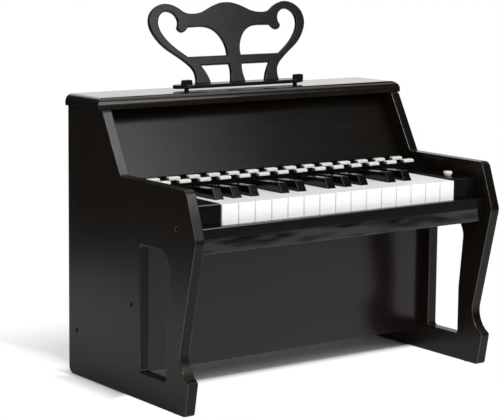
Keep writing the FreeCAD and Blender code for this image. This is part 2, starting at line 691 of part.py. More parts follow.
CELL_PITCH = cell("cell_radius") * 2 + cell("cell_gap")
BATTERY_HALF = CELL_PITCH * cell("cell_count") / 2 + cell("cell_gap") + cell("battery_wall")
BATTERY_HEIGHT = cell("cell_length") + (cell("cell_gap") + cell("battery_wall")) * 2
BATTERY_TOP = cell("battery_bottom") + BATTERY_HEIGHT
BATTERY_DEPTH = (cell("cell_radius") + cell("cell_gap")) * 2 + cell("battery_wall")
COVER_SCREW_HEIGHT = BATTERY_TOP + cell("cover_screw_margin")
COVER_TOP = COVER_SCREW_HEIGHT + cell("cover_screw_margin")


def back_panel():
    """Thin back board with sound slots and the opening for the battery cover."""
    body = new_body("back_panel")
    face = new_sketch(body, "back_outline", "XZ_Plane", -BACK_RAIL_BACK)
    add_box(face, (-INNER_HALF, cell("back_rail_bottom")), (INNER_HALF, cell("side_height")))
    pad(body, face, cell("back_board"), reverse=True)
    opening = new_sketch(body, "battery_opening", "XZ_Plane", -BACK_RAIL_BACK)
    add_box(
        opening,
        (cell("battery_x") - BATTERY_HALF, cell("battery_bottom")),
        (cell("battery_x") + BATTERY_HALF, COVER_TOP),
    )
    pocket(body, opening, cell("back_board"))
    slots = new_sketch(body, "sound_slots", "XZ_Plane", -BACK_RAIL_BACK)
    half_length = cell("slot_length") / 2
    total = count("slot_count")
    for index in range(total):
        middle = cell("speaker_height") + cell("slot_pitch") * (index - (total - 1) / 2)
        add_box(
            slots,
            (cell("speaker_x") - half_length, middle - cell("slot_width") / 2),
            (cell("speaker_x") + half_length, middle + cell("slot_width") / 2),
        )
    pocket(body, slots, cell("back_board"))
    return body


def cylinder(name, radius, height, axis, x, y, z):
    """Part cylinder from a base point, along an axis."""
    item = doc.addObject("Part::Cylinder", name)
    bind(item, "Radius", radius)
    bind(item, "Height", height)
    item.Placement.Rotation = FreeCAD.Rotation(Vector(0, 0, 1), axis)
    place(item, x, y, z)
    return item


def group(label, members):
    """Several separate solids under one name."""
    compound = doc.addObject("Part::Compound", label)
    compound.Label = label
    compound.Links = members
    return compound


def countersunk_screw(name, axis, x, y, z, length):
    """Screw whose flat head lies at the given point, with its shank along the axis."""
    head = doc.addObject("Part::Cone", f"{name}_head")
    bind(head, "Radius1", cell("screw_head_radius"))
    bind(head, "Radius2", cell("screw_radius"))
    bind(head, "Height", cell("screw_head_radius") - cell("screw_radius"))
    head.Placement.Rotation = FreeCAD.Rotation(Vector(0, 0, 1), axis)
    place(head, x, y, z)
    shank = cylinder(f"{name}_shank", cell("screw_radius"), length, axis, x, y, z)
    screw = doc.addObject("Part::Fuse", name)
    screw.Base = head
    screw.Tool = shank
    return screw


def side_screws():
    screws = []
    for side in (-1, 1):
        for index, (y, z) in enumerate(SIDE_SCREWS):
            inward = Vector(-side, 0, 0)
            face = -HALF_WIDTH if side < 0 else HALF_WIDTH
            name = f"side_screw_{'left' if side < 0 else 'right'}_{index + 1}"
            screws.append(countersunk_screw(name, inward, face, y, z, cell("screw_length")))
    return group("side_screws", screws)


def foot_pads():
    up = Vector(0, 0, 1)
    pads = []
    for side in (-1, 1):
        middle = (HALF_WIDTH - cell("side_board") / 2) * side
        for end in ("front_pad_back", "rear_pad_front"):
            name = f"{end}_{'left' if side < 0 else 'right'}"
            pads.append(cylinder(name, cell("pad_radius"), cell("pad_height"), up, middle, cell(end), 0.0))
    return group("foot_pads", pads)


# Sound and power

def speaker():
    """Round speaker seated on the inside of the back panel, turned about an axis along Y."""
    body = new_body("speaker")
    profile = new_sketch(body, "speaker_profile", "XY_Plane")
    flange_front = -cell("speaker_flange")
    cone_front = -cell("speaker_depth") / 2
    add_polygon(profile, [
        (0.0, 0.0),
        (cell("speaker_radius"), 0.0),
        (cell("speaker_radius"), flange_front),
        (cell("speaker_magnet") * 1.5, flange_front),
        (cell("speaker_magnet"), cone_front),
        (cell("speaker_magnet"), -cell("speaker_depth")),
        (0.0, -cell("speaker_depth")),
    ])
    turned = body.newObject("PartDesign::Revolution", "speaker_turned")
    turned.Profile = profile
    turned.ReferenceAxis = (origin_feature(body, "Y_Axis"), [""])
    turned.Angle = 360.0
    place(body, cell("speaker_x"), BACK_RAIL_BACK, cell("speaker_height"))
    return body


def battery_box():
    """Open box behind the back panel's opening, with a lug for the cover's screw."""
    body = new_body("battery_box")
    outside = new_sketch(body, "battery_outside", "XZ_Plane", -BACK_RAIL_BACK)
    middle = cell("battery_x")
    add_box(outside, (middle - BATTERY_HALF, cell("battery_bottom")), (middle + BATTERY_HALF, COVER_TOP))
    pad(body, outside, BATTERY_DEPTH)
    wall = cell("battery_wall")
    inside = new_sketch(body, "battery_inside", "XZ_Plane", -BACK_RAIL_BACK)
    add_box(
        inside,
        (middle - BATTERY_HALF + wall, cell("battery_bottom") + wall),
        (middle + BATTERY_HALF - wall, BATTERY_TOP - wall),
    )
    pocket(body, inside, BATTERY_DEPTH - wall, reverse=True)
    hole = new_sketch(body, "battery_lug_hole", "XZ_Plane", -BACK_RAIL_BACK)
    add_circle(hole, (middle, COVER_SCREW_HEIGHT), cell("screw_radius"))
    pocket(body, hole, BATTERY_DEPTH / 2, reverse=True)
    return body


def batteries():
    up = Vector(0, 0, 1)
    y = BACK_RAIL_BACK - cell("cell_gap") - cell("cell_radius")
    z = cell("battery_bottom") + cell("battery_wall") + cell("cell_gap")
    cells = []
    total = count("cell_count")
    for index in range(total):
        x = cell("battery_x") + CELL_PITCH * (index - (total - 1) / 2)
        cells.append(cylinder(f"battery_{index + 1}", cell("cell_radius"), cell("cell_length"), up, x, y, z))
    return group("batteries", cells)


def battery_cover():
    body = new_body("battery_cover")
    gap = cell("cover_gap")
    plate = new_sketch(body, "cover_plate", "XZ_Plane", -BACK_RAIL_BACK)
    add_box(
        plate,
        (cell("battery_x") - BATTERY_HALF + gap, cell("battery_bottom") + gap),
        (cell("battery_x") + BATTERY_HALF - gap, COVER_TOP - gap),
    )
    pad(body, plate, cell("back_board"), reverse=True)
    hole = new_sketch(body, "cover_hole", "XZ_Plane", -BACK_RAIL_BACK)
    add_circle(hole, (cell("battery_x"), COVER_SCREW_HEIGHT), cell("screw_head_radius"))
    pocket(body, hole, cell("back_board"))
    return body


def cover_screw():
    inward = Vector(0, -1, 0)
    length = cell("back_board") + BATTERY_DEPTH / 3
    screw = countersunk_screw(
        "cover_screw", inward, cell("battery_x"), BACK_PANEL_BACK, COVER_SCREW_HEIGHT, length
    )
    screw.Label = "cover_screw"
    return screw


# Keyboard, fixed pieces

def key_slip():
    body = board_between_sides("key_slip", [
        (cell("bed_front"), BED_TOP),
        (SLIP_BACK, BED_TOP),
        (SLIP_BACK, cell("slip_top")),
        (cell("bed_front"), cell("slip_top")),
    ])
    upper = along_x_at((cell("bed_front"), cell("slip_top")), (SLIP_BACK, cell("slip_top")))
    round_edges(body, "upper_edges", cell("slip_radius"), upper)
    return body


def cheek(label, side):
    """Hollow block beside the keys; side is -1 on the left and 1 on the right."""
    body = new_body(label)
    width = INNER_HALF - CHEEK_INNER
    profile = new_sketch(body, f"{label}_profile", "YZ_Plane")
    add_polygon(profile, [
        (SLIP_BACK, BED_TOP),
        (cell("bed_back"), BED_TOP),
        (cell("bed_back"), cell("cheek_top")),
        (cell("cheek_front"), cell("cheek_top")),
        (cell("cheek_front"), cell("slip_top")),
        (SLIP_BACK, cell("slip_top")),
    ])
    pad(body, profile, width)
    wall = cell("cheek_wall")
    hollow = new_sketch(body, f"{label}_hollow", "XY_Plane", BED_TOP)
    hollow_front = cell("cheek_front") + cell("cheek_front_block")
    add_box(hollow, (wall, hollow_front), (width - wall, cell("bed_back") - wall))
    pocket(body, hollow, cell("cheek_top") - wall - BED_TOP, reverse=True)
    inner_face = width if side < 0 else as_size(0.0)
    front_edge = along_x_at((cell("cheek_front"), cell("cheek_top")))

    def inner_edge(edge):
        box = edge.BoundBox
        at_face = near(box.XMin, inner_face.value) and near(box.XMax, inner_face.value)
        return at_face and near(box.ZMin, cell("cheek_top").value)
    round_edges(body, "upper_edges", cell("cheek_radius"), lambda edge: front_edge(edge) or inner_edge(edge))
    rod_hole = new_sketch(body, f"{label}_rod_hole", "YZ_Plane", inner_face)
    add_circle(rod_hole, (cell("pivot_back"), cell("pivot_height")), cell("pivot_radius"))
    pocket(body, rod_hole, wall, reverse=side > 0)
    pilot = new_sketch(body, f"{label}_pilot", "YZ_Plane", 0.0 if side < 0 else width)
    add_circle(pilot, (CHEEK_SCREW, cell("cheek_screw_height")), cell("screw_radius"))
    pocket(body, pilot, SCREW_DEPTH, reverse=side < 0)
    if side > 0:
        bush_hole = new_sketch(body, "control_hole", "XY_Plane", cell("cheek_top"))
        bush_radius = cell("shaft_radius") + cell("running_gap") + cell("control_bush")
        add_circle(bush_hole, (KNOB_X - CHEEK_INNER, cell("knob_back")), bush_radius)
        pocket(body, bush_hole, wall)
    place(body, x=-INNER_HALF if side < 0 else CHEEK_INNER)
    return body


KNOB_X = CHEEK_INNER + cell("cheek_wall") + cell("control_side_gap") + cell("control_radius")
FIRST_LIGHT = cell("light_end") - INNER_HALF
RAIL_BOTTOM = cell("cheek_top")
RAIL_REAR_TOP = music_face_at(cell("rail_rear_top"))
RAIL_REAR_BOTTOM = music_face_at(RAIL_BOTTOM)
RAIL_RISE = (cell("rail_rear_top") - cell("rail_front_top")) / (RAIL_REAR_TOP - cell("rail_front"))


def rail_top_at(y):
    """Height of the light rail's sloped top."""
    return cell("rail_front_top") + (y - cell("rail_front")) * RAIL_RISE


def light_rail():
    """Hollow cover behind the keys, open underneath, with a slot for each note light's stem."""
    body = board_between_sides("light_rail", [
        (cell("rail_front"), RAIL_BOTTOM),
        (cell("rail_front"), cell("rail_front_top")),
        (RAIL_REAR_TOP, cell("rail_rear_top")),
        (RAIL_REAR_BOTTOM, RAIL_BOTTOM),
    ])
    wall = cell("rail_wall")
    hollow = new_sketch(body, "rail_hollow", "YZ_Plane")
    front = cell("rail_front") + wall
    rear_low = RAIL_REAR_BOTTOM - wall
    add_polygon(hollow, [
        (front, RAIL_BOTTOM),
        (front, rail_top_at(front) - wall),
        (rear_low, rail_top_at(rear_low) - wall),
        (rear_low, RAIL_BOTTOM),
    ])
    pocket(body, hollow, INNER_WIDTH - wall * 2, symmetric=True)
    round_edges(body, "front_edge", cell("rail_radius"),
                along_x_at((cell("rail_front"), cell("rail_front_top"))))
    slots = new_sketch(body, "stem_slots", "XY_Plane", cell("rail_rear_top"))
    half_width = cell("light_stem_width") / 2 + cell("light_stem_gap")
    half_depth = cell("light_stem_depth") / 2 + cell("light_stem_gap")
    for row in ("light_front_row", "light_rear_row"):
        middle = light_row_middle(row)
        add_box(
            slots,
            (FIRST_LIGHT - half_width, middle - half_depth),
            (FIRST_LIGHT + half_width, middle + half_depth),
        )
    slot_cut = pocket(body, slots, cell("rail_rear_top") - RAIL_BOTTOM)
    slot_row = repeat_along_lights(body, "stem_slot_row")
    slot_row.TransformMode = "Features"
    slot_row.Originals = [slot_cut]
    return body


def repeat_along_lights(body, name):
    """Repeat along X, once for each note light in a row."""
    row = body.newObject("PartDesign::LinearPattern", name)
    row.Direction = (origin_feature(body, "X_Axis"), [""])
    bind(row, "Length", cell("light_pitch") * (cell("light_columns") - 1))
    bind(row, "Occurrences", cell("light_columns"))
    body.Tip = row
    return row


def light_row_middle(row):
    return cell("rail_front") + cell(row) + cell("light_depth") / 2


def note_lights(label, row):
    """Row of light caps seated on the rail, each with a stem down to the light board."""
    body = new_body(label)
    middle = light_row_middle(row)
    front = middle - cell("light_depth") / 2
    back = middle + cell("light_depth") / 2
    cap = new_sketch(body, f"{label}_cap", "YZ_Plane", FIRST_LIGHT)
    add_polygon(cap, [
        (front, rail_top_at(front)),
        (back, rail_top_at(back)),
        (back, rail_top_at(back) + cell("light_height")),
        (front, rail_top_at(front) + cell("light_height")),
    ])
    pad(body, cap, cell("light_width"), symmetric=True)

    middle_height = rail_top_at(back).value + cell("light_height").value / 2
    round_edges(body, "corners", cell("light_corner_radius"),
                lambda edge: edge.BoundBox.ZLength > cell("light_height").value / 2)
    round_edges(body, "upper_edges", cell("light_radius"), lambda edge: edge.BoundBox.ZMin > middle_height)
    stem_foot = rail_top_at(front) - cell("rail_wall") - cell("light_board_drop") + cell("stop_gap")
    stem = new_sketch(body, f"{label}_stem", "XY_Plane", stem_foot)
    half_width = cell("light_stem_width") / 2
    half_depth = cell("light_stem_depth") / 2
    add_box(
        stem,
        (FIRST_LIGHT - half_width, middle - half_depth),
        (FIRST_LIGHT + half_width, middle + half_depth),
    )
    pad(body, stem, rail_top_at(back) - stem_foot)
    row_of_lights = repeat_along_lights(body, f"{label}_row")
    row_of_lights.TransformMode = "Whole shape"
    return body


def light_board():
    """Board with the lamps, held inside the light rail."""
    wall = cell("rail_wall")
    front = cell("rail_front") + wall + cell("light_stem_gap")
    back = RAIL_REAR_BOTTOM - wall - cell("light_stem_gap")
    high = rail_top_at(front) - wall - cell("light_board_drop")
    body = new_body("light_board")
    profile = new_sketch(body, "light_board_profile", "YZ_Plane")
    add_box(profile, (front, high - cell("circuit_board_thick")), (back, high))
    pad(body, profile, INNER_WIDTH - (wall + cell("light_stem_gap")) * 2, symmetric=True)
    return body


def strip_under_keys(label, front, back, low, high):
    """Strip that runs the length of the keyboard between the end blocks."""
    body = new_body(label)
    profile = new_sketch(body, f"{label}_profile", "YZ_Plane")
    add_box(profile, (front, low), (back, high))
    pad(body, profile, KEY_SPAN, symmetric=True)
    return body


def circuit_board():
    board_top = BED_TOP + cell("circuit_board_thick")
    return strip_under_keys(
        "circuit_board", cell("circuit_board_front"), cell("circuit_board_back"), BED_TOP, board_top
    )


def contact_strip():
    """Rubber strip with one dome under each key."""
    low = BED_TOP + cell("circuit_board_thick")
    base_top = low + cell("contact_base")
    half = cell("contact_radius") + cell("contact_base")
    middle = cell("contact_back")
    body = strip_under_keys("contact_strip", middle - half, middle + half, low, base_top)
    domes = new_sketch(body, "contact_domes", "XY_Plane", base_top)
    for x in key_contact_places():
        add_circle(domes, (x, middle), cell("contact_radius"))
    dome_top = cell("key_bottom") - key_drop_at(middle - cell("contact_radius")) - cell("stop_gap")
    pad(body, domes, dome_top - base_top)
    return body


def key_stop_felt():
    front = cell("felt_front")
    felt_top = cell("key_bottom") - key_drop_at(front) - cell("stop_gap")
    return strip_under_keys("key_stop_felt", front, front + cell("felt_width"), BED_TOP, felt_top)


def key_rest_felt():
    """Strip that the keys' tails lie on."""
    front = KEY_REAR - cell("felt_width") / 2
    return strip_under_keys(
        "key_rest_felt", front, front + cell("felt_width"), BED_TOP, cell("key_bottom") - cell("rest_gap")
    )


def pivot_rod():
    reach = CHEEK_INNER + cell("cheek_wall")
    rod = cylinder("pivot_rod", cell("pivot_radius"), reach * 2, Vector(1, 0, 0),
                   -reach, cell("pivot_back"), cell("pivot_height"))
    rod.Label = "pivot_rod"
    return rod


# Keys

def slit_x(number):
    """X of the slit to the right of a white key, counted from 1 at the left."""
    return cell("key_pitch") * number - KEY_SPAN / 2


def black_shift(slit):
    """Sideways shift of the black key over a slit, or None where there is none."""
    for number, shift, direction in BLACK_KEYS:
        if number == slit:
            return cell("black_row_shift") + cell(shift) * direction
    return None


def white_key_tail(number):
    """Left and right of a white key's tail, from the middle of the key."""
    edge = (cell("key_pitch") - cell("key_gap")) / 2
    room = cell("black_width") / 2 + cell("black_side_gap")
    left_shift = black_shift(number - 1)
    right_shift = black_shift(number)
    left = -edge if left_shift is None else left_shift + room - cell("key_pitch") / 2
    right = edge if right_shift is None else right_shift - room + cell("key_pitch") / 2
    return left, right


def key_contact_places():
    """X of the contact under each key."""
    places = []
    for number in range(1, count("white_count") + 1):
        left, right = white_key_tail(number)
        places.append(slit_x(number) - cell("key_pitch") / 2 + (left + right) / 2)
    for slit, shift, direction in BLACK_KEYS:
        places.append(slit_x(slit) + black_shift(slit))
    return places


def drill_pivot(body, label):
    sketch = new_sketch(body, f"{label}_pivot", "YZ_Plane")
    radius = cell("pivot_radius") + cell("pivot_gap")
    add_circle(sketch, (cell("pivot_back"), cell("pivot_height")), radius)
    pocket(body, sketch, cell("key_pitch") * 2, symmetric=True)


def hollow_key(body, label, chambers, top):
    """Chambers cut from below, each a pair of opposite corners."""
    sketch = new_sketch(body, f"{label}_chambers", "XY_Plane", cell("key_bottom"))
    for low, high in chambers:
        add_box(sketch, low, high)
    pocket(body, sketch, top - cell("key_wall") - cell("key_bottom"), reverse=True)


def white_key(number):
    label = f"white_key_{number:02d}"
    body = new_body(label)
    edge = (cell("key_pitch") - cell("key_gap")) / 2
    front = cell("key_front")
    head_back = cell("black_front") - cell("black_front_gap")
    left, right = white_key_tail(number)
    corners = [(-edge, front), (edge, front)]
    if black_shift(number) is not None:
        corners += [(edge, head_back), (right, head_back)]
    corners += [(right, KEY_REAR), (left, KEY_REAR)]
    if black_shift(number - 1) is not None:
        corners += [(left, head_back), (-edge, head_back)]
    plan = new_sketch(body, f"{label}_plan", "XY_Plane", cell("key_bottom"))
    add_polygon(plan, corners)
    pad(body, plan, cell("key_top") - cell("key_bottom"))
    wall = cell("key_wall")
    web_front = cell("contact_back") - cell("key_web") / 2
    web_back = cell("contact_back") + cell("key_web") / 2
    hollow_key(body, label, [
        ((-edge + wall, front + wall), (edge - wall, head_back - wall)),
        ((left + wall, head_back + wall), (right - wall, web_front)),
        ((left + wall, web_back), (right - wall, KEY_REAR - wall)),
    ], cell("key_top"))
    top = in_plane("Z", cell("key_top"))
    front_corners = upright_at((-edge, front), (edge, front))
    round_edges(body, "rounding", cell("key_radius"), lambda item: top(item) or front_corners(item))
    drill_pivot(body, label)
    place(body, x=slit_x(number) - cell("key_pitch") / 2)
    return body


def black_key(number, slit):
    label = f"black_key_{number:02d}"
    body = new_body(label)
    front = cell("black_front")
    tail_top = cell("key_top") - cell("rest_gap")
    rear_top = cell("rail_front") - cell("black_rear_gap")
    profile = new_sketch(body, f"{label}_profile", "YZ_Plane")
    add_polygon(profile, [
        (front, cell("key_bottom")),
        (front, cell("key_top")),
        (front + cell("black_slope"), cell("black_top")),
        (rear_top, cell("black_rear_top")),
        (rear_top, tail_top),
        (KEY_REAR, tail_top),
        (KEY_REAR, cell("key_bottom")),
    ])
    pad(body, profile, cell("black_width"), symmetric=True)
    wall = cell("key_wall")
    half = cell("black_width") / 2 - wall
    web_front = cell("contact_back") - cell("key_web") / 2
    web_back = cell("contact_back") + cell("key_web") / 2
    hollow_key(body, label, [
        ((-half, front + wall), (half, web_front)),
        ((-half, web_back), (half, KEY_REAR - wall)),
    ], tail_top)

    def shown_edge(item):
        box = item.BoundBox
        above_whites = box.ZMin > cell("key_top").value - 0.01
        ahead_of_rail = box.YMax < rear_top.value + 0.01
        foot_of_front = near(box.ZMin, cell("key_top").value) and near(box.ZMax, cell("key_top").value)
        return above_whites and ahead_of_rail and not foot_of_front
    round_edges(body, "rounding", cell("black_radius"), shown_edge)
    drill_pivot(body, label)
    place(body, x=slit_x(slit) + black_shift(slit))
    return body


# Volume knob

def volume_control():
    """Control under the right end block, with a bush that guides the knob's shaft."""
    body = new_body("volume_control")
    under_top = cell("cheek_top") - cell("cheek_wall")
    can = new_sketch(body, "control_can", "XY_Plane", under_top)
    add_circle(can, (0.0, 0.0), cell("control_radius"))
    pad(body, can, cell("control_depth"), reverse=True)
    bush = new_sketch(body, "control_bush_ring", "XY_Plane", under_top)
    add_circle(bush, (0.0, 0.0), cell("shaft_radius") + cell("running_gap") + cell("control_bush"))
    pad(body, bush, cell("cheek_wall"))
    bore = new_sketch(body, "control_bore", "XY_Plane", cell("cheek_top"))
    add_circle(bore, (0.0, 0.0), cell("shaft_radius") + cell("running_gap"))
    pocket(body, bore, cell("cheek_wall") + cell("control_depth") / 2)
    place(body, x=KNOB_X, y=cell("knob_back"))
    return body


def knob_shaft():
    low = cell("cheek_top") - cell("cheek_wall") - cell("control_depth") / 2 + cell("stop_gap")
    high = cell("cheek_top") + cell("knob_lift") + cell("shaft_reach")
    up = Vector(0, 0, 1)
    shaft = cylinder("knob_shaft", cell("shaft_radius"), high - low, up, KNOB_X, cell("knob_back"), low)
    shaft.Label = "knob_shaft"
    return shaft


def volume_knob():
    """Round knob that widens towards its rim, with a socket for the shaft."""
    body = new_body("volume_knob")
    profile = new_sketch(body, "knob_profile", "XZ_Plane")
    height = cell("knob_height")
    add_polygon(profile, [
        (cell("shaft_radius"), 0.0),
        (cell("knob_waist"), 0.0),
        (cell("knob_radius"), height * 0.55),
        (cell("knob_radius"), height),
        (0.0, height),
        (0.0, cell("shaft_reach")),
        (cell("shaft_radius"), cell("shaft_reach")),
    ])
    turned = body.newObject("PartDesign::Revolution", "knob_turned")
    turned.Profile = profile
    turned.ReferenceAxis = (origin_feature(body, "Z_Axis"), [""])
    turned.Angle = 360.0
    doc.recompute()
    round_edges(body, "rim", height / 6, lambda edge: near(edge.BoundBox.ZMin, height.value))
    place(body, KNOB_X, cell("knob_back"), cell("cheek_top") + cell("knob_lift"))
    return body


# Music stand

SHELF_BOTTOM = LID_TOP + cell("collar_height")
SHELF_TOP = SHELF_BOTTOM + cell("shelf_thick")


def stand_shelf():
    """Boat-shaped shelf with page stops, standing on two pegs in the lid."""
    body = new_body("stand_shelf")
    middle = (cell("shelf_front") + cell("shelf_back")) / 2
    plan = new_sketch(body, "shelf_plan", "XY_Plane", SHELF_BOTTOM)
    tip = cell("shelf_half_length")
    shoulder = cell("shelf_half_straight")
    add_polygon(plan, [
        (-tip, middle),
        (-shoulder, cell("shelf_front")),
        (shoulder, cell("shelf_front")),
        (tip, middle),
        (shoulder, cell("shelf_back")),
        (-shoulder, cell("shelf_back")),
    ])
    pad(body, plan, cell("shelf_thick"))
    round_edges(body, "tips", cell("shelf_tip_radius"), upright_at((-tip, middle), (tip, middle)))
    shoulders = [(x, cell(y)) for x in (-shoulder, shoulder) for y in ("shelf_front", "shelf_back")]
    round_edges(body, "shoulders", cell("shelf_shoulder_radius"), upright_at(*shoulders))
    round_edges(body, "lower_edge", cell("shelf_radius"), in_plane("Z", SHELF_BOTTOM))
    stops = new_sketch(body, "page_stops", "XZ_Plane", -cell("shelf_front") - cell("shelf_radius"))
    half = cell("stop_width") / 2
    for side in (-1, 1):
        x = cell("stop_center_x") * side
        add_box(stops, (x - half, SHELF_TOP), (x + half, SHELF_TOP + cell("stop_height")))
    pad(body, stops, cell("stop_thick"), reverse=True)
    stop_top = SHELF_TOP + cell("stop_height")

    def stop_corner(edge):
        box = edge.BoundBox
        along_y = near(box.XLength, 0.0) and near(box.ZLength, 0.0)
        return along_y and near(box.ZMin, stop_top.value)
    round_edges(body, "stop_corners", cell("stop_radius"), stop_corner)
    collars = new_sketch(body, "collars", "XY_Plane", LID_TOP)
    pegs = new_sketch(body, "pegs", "XY_Plane", LID_TOP)
    for x in (-cell("peg_x"), cell("peg_x")):
        add_circle(collars, (x, cell("peg_back")), cell("collar_radius"))
        add_circle(pegs, (x, cell("peg_back")), cell("peg_radius"))
    pad(body, collars, cell("collar_height"))
    pad(body, pegs, cell("peg_length"), reverse=True)
    return body


# Half outline of the music stand as shares of its half width and height, from the foot up the outside
FOOT_TO_SCROLL = [(0.56, -0.06), (0.526, 0.07), (0.54, 0.155), (0.62, 0.26), (0.73, 0.355), (0.855, 0.46),
                  (0.95, 0.59), (1.0, 0.75), (0.97, 0.88), (0.88, 0.97), (0.765, 1.0), (0.655, 0.97),
                  (0.56, 0.9)]
SHOULDER_TO_CREST = [(0.56, 0.9), (0.5, 0.873), (0.43, 0.868), (0.34, 0.882), (0.2, 0.95), (0.1, 0.99),
                     (0.0, 1.003)]
# Upper opening, from the curl's ball round the scroll to the crossbar, then up the middle post to the curl
BALL_TO_CROSSBAR = [(0.663, 0.705), (0.643, 0.76), (0.655, 0.83), (0.7, 0.883), (0.762, 0.902), (0.83, 0.878),
                    (0.88, 0.8), (0.882, 0.7), (0.82, 0.565), (0.714, 0.443), (0.584, 0.333)]
POST_TO_BAR = [(0.087, 0.333), (0.09, 0.43), (0.121, 0.533), (0.178, 0.623), (0.265, 0.683), (0.373, 0.702),
               (0.53, 0.699)]
BAR_TO_BALL = [(0.53, 0.699), (0.56, 0.662), (0.604, 0.638), (0.645, 0.655), (0.663, 0.705)]
# Lower opening: its inner edge down the middle post, and its outer edge up the leg
POST_TO_FOOT = [(0.083, 0.218), (0.075, 0.15), (0.085, 0.05), (0.105, -0.06)]
FOOT_TO_LEG = [(0.345, -0.06), (0.362, 0.06), (0.395, 0.14), (0.437, 0.218)]


def stand_point(share, side):
    across, up = share
    return Vector(side * across * cell("stand_half_width").value, 0.0, up * cell("stand_height").value)


def smooth_edge(shares, side):
    curve = Part.BSplineCurve()
    curve.interpolate([stand_point(share, side) for share in shares])
    return curve.toShape()


def straight_edge(start, end, side, end_side=None):
    return Part.makeLine(stand_point(start, side), stand_point(end, end_side or side))


def wire_face(edges):
    return Part.Face(Part.Wire(Part.__sortEdges__(edges)))


def stand_lyre():
    """Plate with scrolled arms, cut from its outline and leaned back on the shelf."""
    outside = [straight_edge(FOOT_TO_SCROLL[0], FOOT_TO_SCROLL[0], -1, 1)]
    openings = []
    for side in (-1, 1):
        outside += [smooth_edge(FOOT_TO_SCROLL, side), smooth_edge(SHOULDER_TO_CREST, side)]
        openings.append(wire_face([
            smooth_edge(BALL_TO_CROSSBAR, side),
            straight_edge(BALL_TO_CROSSBAR[-1], POST_TO_BAR[0], side),
            smooth_edge(POST_TO_BAR, side),
            smooth_edge(BAR_TO_BALL, side),
        ]))
        openings.append(wire_face([
            smooth_edge(POST_TO_FOOT, side),
            straight_edge(POST_TO_FOOT[-1], FOOT_TO_LEG[0], side),
            smooth_edge(FOOT_TO_LEG, side),
            straight_edge(FOOT_TO_LEG[-1], POST_TO_FOOT[0], side),
        ]))
    plate = cell("stand_plate").value
    flat = wire_face(outside).cut(openings)
    flat.translate(Vector(0, -plate / 2, 0))
    solid = flat.extrude(Vector(0, plate, 0)).Solids[0]
    rims = [edge for edge in solid.Edges if near(edge.BoundBox.YLength, 0)]
    solid = solid.makeChamfer(cell("stand_chamfer").value, rims)
    solid.rotate(Vector(0, 0, 0), Vector(1, 0, 0), -cell("stand_tilt").value)
    solid.translate(Vector(0, cell("stand_foot").value, SHELF_TOP.value))
    reach = cell("stand_half_width").value * 2
    below = Part.makeBox(reach * 2, reach * 2, reach, Vector(-reach, -reach, SHELF_TOP.value - reach))
    lyre = doc.addObject("Part::Feature", "stand_lyre")
    lyre.Label = "stand_lyre"
    lyre.Shape = solid.cut(below)
    return lyre


# Assembly

SUB_PARTS = [
    side_panel("side_panel_left", -1),
    side_panel("side_panel_right", 1),
    top_lid(),
    music_panel(),
    knee_panel(),
    key_bed(),
    top_rail(),
    back_rail(),
    back_panel(),
    side_screws(),
    foot_pads(),
    speaker(),
    battery_box(),
    batteries(),
    battery_cover(),
    cover_screw(),
    key_slip(),
    cheek("cheek_left", -1),
    cheek("cheek_right", 1),
    light_rail(),
    note_lights("note_lights_front", "light_front_row"),
    note_lights("note_lights_rear", "light_rear_row"),
    light_board(),
    circuit_board(),
    contact_strip(),
    key_stop_felt(),
    key_rest_felt(),
    pivot_rod(),
    volume_control(),
    knob_shaft(),
    volume_knob(),
    stand_shelf(),
    stand_lyre(),
]
SUB_PARTS += [white_key(number) for number in range(1, count("white_count") + 1)]
SUB_PARTS += [black_key(number, place_of[0]) for number, place_of in enumerate(BLACK_KEYS, start=1)]
doc.recompute()

for item in doc.Objects:
    if "Invalid" in item.State or "Error" in item.State:
        raise RuntimeError(f"{item.Label} failed to build: {item.State}")
for item in SUB_PARTS:
    if item.Shape.isNull() or not item.Shape.isValid() or not item.Shape.Solids:
        raise RuntimeError(f"{item.Label} has no valid shape")

os.makedirs("parts", exist_ok=True)
for item in SUB_PARTS:
    item.Shape.exportStep(os.path.join("parts", f"{item.Label}.step"))
print(f"{len(SUB_PARTS)} sub-parts written")
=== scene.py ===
import bpy
from mathutils import Matrix, Vector


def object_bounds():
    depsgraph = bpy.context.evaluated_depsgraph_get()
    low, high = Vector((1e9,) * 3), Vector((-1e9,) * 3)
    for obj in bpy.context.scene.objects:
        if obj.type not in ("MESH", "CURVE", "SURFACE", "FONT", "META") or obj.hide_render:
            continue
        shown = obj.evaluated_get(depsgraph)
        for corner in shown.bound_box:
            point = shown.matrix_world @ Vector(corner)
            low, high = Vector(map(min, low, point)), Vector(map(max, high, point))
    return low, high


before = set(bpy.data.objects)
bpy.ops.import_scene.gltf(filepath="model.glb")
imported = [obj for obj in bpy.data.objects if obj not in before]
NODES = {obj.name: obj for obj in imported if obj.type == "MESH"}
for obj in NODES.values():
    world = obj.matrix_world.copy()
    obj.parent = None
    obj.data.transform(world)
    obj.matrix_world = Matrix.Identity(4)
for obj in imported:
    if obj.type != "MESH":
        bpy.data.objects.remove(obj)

CAD_LOW, CAD_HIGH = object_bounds()
SCENE = bpy.context.scene


# Node trees

